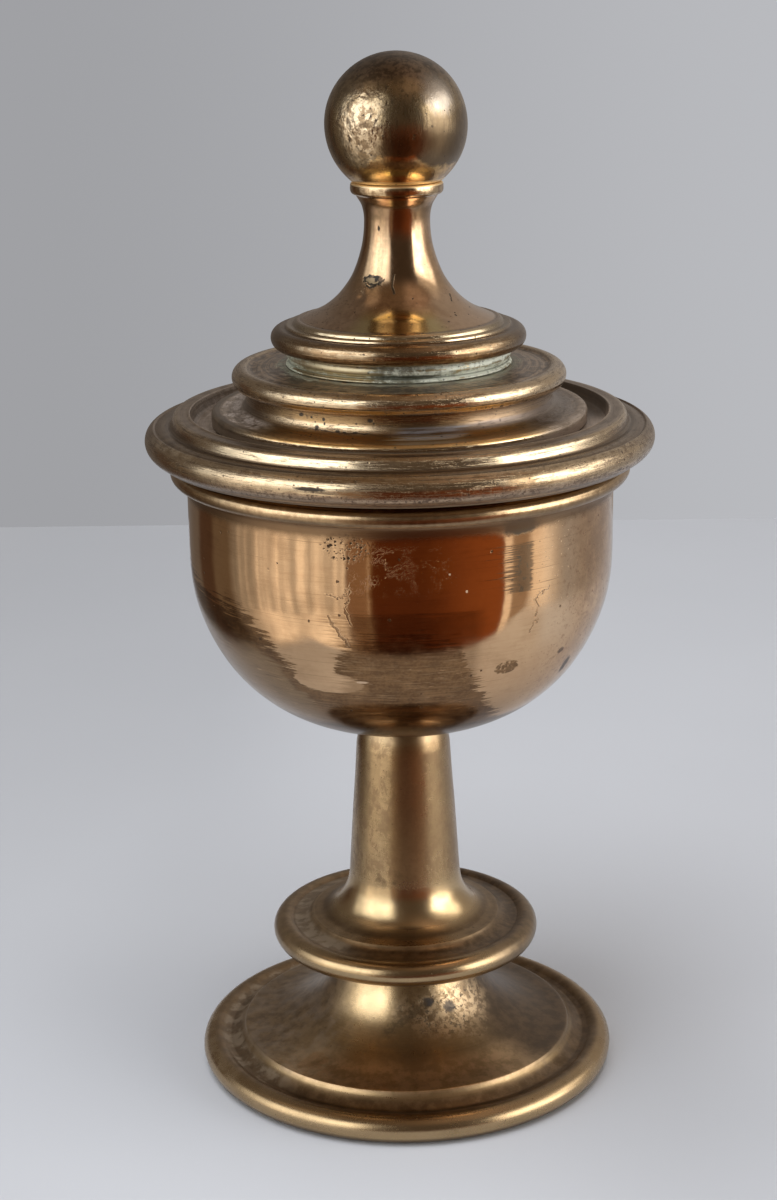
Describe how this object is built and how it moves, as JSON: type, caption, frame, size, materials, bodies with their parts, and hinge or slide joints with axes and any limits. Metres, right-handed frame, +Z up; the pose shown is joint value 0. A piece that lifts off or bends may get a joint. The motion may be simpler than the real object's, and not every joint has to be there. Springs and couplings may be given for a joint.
{
  "type": "lidded chalice",
  "caption": "Small lidded chalice of turned brass: bell foot, stem with knop disc, deep bowl, moulded lift-off lid and ball finial.",
  "frame": {"origin": "centre of the flat ring that the foot stands on", "axes": "+Z up along the axis of turning, from the foot to the ball"},
  "size_m": [0.0484, 0.0484, 0.1],
  "materials": {
    "foot_brass": "aged satin brass with olive-brown patina and small dark specks",
    "stem_brass": "aged satin brass, worn brighter than the foot",
    "bowl_brass": "polished aged brass, dull and brown on the lower bowl, with fine round scratches and small pits",
    "lid_brass": "satin aged brass with brown patina in the grooves",
    "verdigris": "brass gone pale green in the joint",
    "finial_brass": "polished aged brass with small chips",
    "ball_brass": "satin olive-brown brass with fine upright brushing",
    "hardware_brass": "plain turned brass, dulled"
  },
  "bodies": {
    "cup": {"foot": "foot_brass", "foot_washer": "hardware_brass", "foot_nut": "hardware_brass", "tie_rod": "hardware_brass", "stem_with_knop": "stem_brass", "bowl": "bowl_brass"},
    "lid": {"lid_plate": "lid_brass", "lid_boss": "lid_brass", "collar_ring": "verdigris", "finial": "finial_brass", "finial_ball": "ball_brass", "finial_rod": "hardware_brass", "lid_washer": "hardware_brass", "lid_nut": "hardware_brass"}
  },
  "joints": [
    {"name": "lid_lift", "type": "slide", "parent": "cup", "child": "lid", "axis": [0, 0, 1], "range_m": [0, 0.04]}
  ]
}
